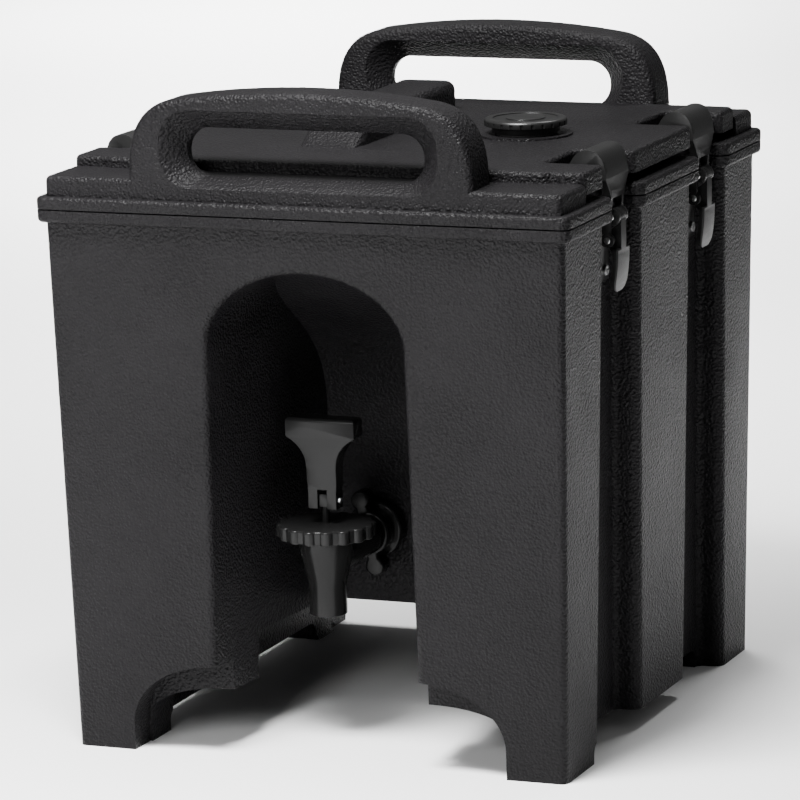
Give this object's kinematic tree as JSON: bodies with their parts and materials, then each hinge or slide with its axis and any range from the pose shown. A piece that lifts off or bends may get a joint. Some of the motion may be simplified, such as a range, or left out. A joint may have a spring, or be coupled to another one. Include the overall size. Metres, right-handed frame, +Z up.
{
  "type": "insulated beverage dispenser",
  "caption": "Insulated plastic drink carrier with a recessed self-closing tap, lift-off lid with carrying handles, draw latches and a vent cap.",
  "frame": {"origin": "on the floor under the middle of the body", "axes": "+Z up, the tap faces -Y, +X to the right seen from the front"},
  "size_m": [0.3898, 0.419, 0.4669],
  "materials": {
    "shell_plastic": "grained satin",
    "rubber": "matte",
    "cap_plastic": "semi gloss",
    "tap_plastic": "semi gloss",
    "latch_plastic": "semi gloss",
    "steel": "satin"
  },
  "bodies": {
    "carrier": {"body_shell": "shell_plastic", "latch_base_pins": "steel", "latch_screws": "steel", "tap_gasket": "rubber", "tap_collar": "tap_plastic", "tap_wing_nut": "tap_plastic", "tap_body": "tap_plastic", "tap_bonnet": "tap_plastic", "tank_nut": "tap_plastic", "tank_washer": "rubber", "latch_base_front_left": "latch_plastic", "latch_base_rear_left": "latch_plastic", "latch_base_front_right": "latch_plastic", "latch_base_rear_right": "latch_plastic"},
    "lid": {"lid_shell": "shell_plastic", "lid_gasket": "rubber", "vent_seal": "rubber"},
    "vent": {"vent_cap": "cap_plastic"},
    "valve": {"tap_stem": "tap_plastic", "tap_seat_cup": "rubber"},
    "tap_handle": {"tap_lever": "tap_plastic", "tap_lever_pin": "steel"},
    "lever_front_left": {"latch_lever_front_left": "latch_plastic", "latch_link_pin_front_left": "steel"},
    "strap_front_left": {"latch_strap_front_left": "latch_plastic"},
    "lever_rear_left": {"latch_lever_rear_left": "latch_plastic", "latch_link_pin_rear_left": "steel"},
    "strap_rear_left": {"latch_strap_rear_left": "latch_plastic"},
    "lever_front_right": {"latch_lever_front_right": "latch_plastic", "latch_link_pin_front_right": "steel"},
    "strap_front_right": {"latch_strap_front_right": "latch_plastic"},
    "lever_rear_right": {"latch_lever_rear_right": "latch_plastic", "latch_link_pin_rear_right": "steel"},
    "strap_rear_right": {"latch_strap_rear_right": "latch_plastic"}
  },
  "joints": [
    {"name": "lid_lift", "type": "slide", "parent": "carrier", "child": "lid", "axis": [0, 0, 1], "range_m": [0, 0.024]},
    {"name": "vent_pull", "type": "slide", "parent": "lid", "child": "vent", "axis": [0, 0, 1], "range_m": [0, 0.032]},
    {"name": "valve_lift", "type": "slide", "parent": "carrier", "child": "valve", "axis": [0, 0, 1], "range_m": [0, 0.0041]},
    {"name": "tap_tilt", "type": "hinge", "parent": "valve", "child": "tap_handle", "pos_m": [-0.017, -0.131, 0.172], "axis": [1, 0, 0], "range_deg": [0, 25], "stiffness_Nm_per_rad": 0.4, "springref_deg": -8.59},
    {"name": "lever_front_left", "type": "hinge", "parent": "carrier", "child": "lever_front_left", "pos_m": [-0.184, -0.0865, 0.3725], "axis": [0, 1, 0], "range_deg": [0, 65.5]},
    {"name": "strap_front_left", "type": "hinge", "parent": "lever_front_left", "child": "strap_front_left", "pos_m": [-0.1825, -0.0865, 0.357], "axis": [0, -1, 0], "range_deg": [0, 110.5]},
    {"name": "lever_rear_left", "type": "hinge", "parent": "carrier", "child": "lever_rear_left", "pos_m": [-0.184, 0.098, 0.3725], "axis": [0, 1, 0], "range_deg": [0, 65.5]},
    {"name": "strap_rear_left", "type": "hinge", "parent": "lever_rear_left", "child": "strap_rear_left", "pos_m": [-0.1825, 0.098, 0.357], "axis": [0, -1, 0], "range_deg": [0, 110.5]},
    {"name": "lever_front_right", "type": "hinge", "parent": "carrier", "child": "lever_front_right", "pos_m": [0.184, -0.0865, 0.3725], "axis": [0, -1, 0], "range_deg": [0, 65.5]},
    {"name": "strap_front_right", "type": "hinge", "parent": "lever_front_right", "child": "strap_front_right", "pos_m": [0.1825, -0.0865, 0.357], "axis": [0, 1, 0], "range_deg": [0, 110.5]},
    {"name": "lever_rear_right", "type": "hinge", "parent": "carrier", "child": "lever_rear_right", "pos_m": [0.184, 0.098, 0.3725], "axis": [0, -1, 0], "range_deg": [0, 65.5]},
    {"name": "strap_rear_right", "type": "hinge", "parent": "lever_rear_right", "child": "strap_rear_right", "pos_m": [0.1825, 0.098, 0.357], "axis": [0, 1, 0], "range_deg": [0, 110.5]}
  ],
  "couplings": [
    {"joint": "valve_lift", "follows": "tap_tilt", "m_per_rad": 0.009167},
    {"joint": "lever_front_left", "follows": "lid_lift", "rad_per_m": 47.269},
    {"joint": "strap_front_left", "follows": "lid_lift", "rad_per_m": 79.994},
    {"joint": "lever_rear_left", "follows": "lid_lift", "rad_per_m": 47.269},
    {"joint": "strap_rear_left", "follows": "lid_lift", "rad_per_m": 79.994},
    {"joint": "lever_front_right", "follows": "lid_lift", "rad_per_m": 47.269},
    {"joint": "strap_front_right", "follows": "lid_lift", "rad_per_m": 79.994},
    {"joint": "lever_rear_right", "follows": "lid_lift", "rad_per_m": 47.269},
    {"joint": "strap_rear_right", "follows": "lid_lift", "rad_per_m": 79.994}
  ]
}
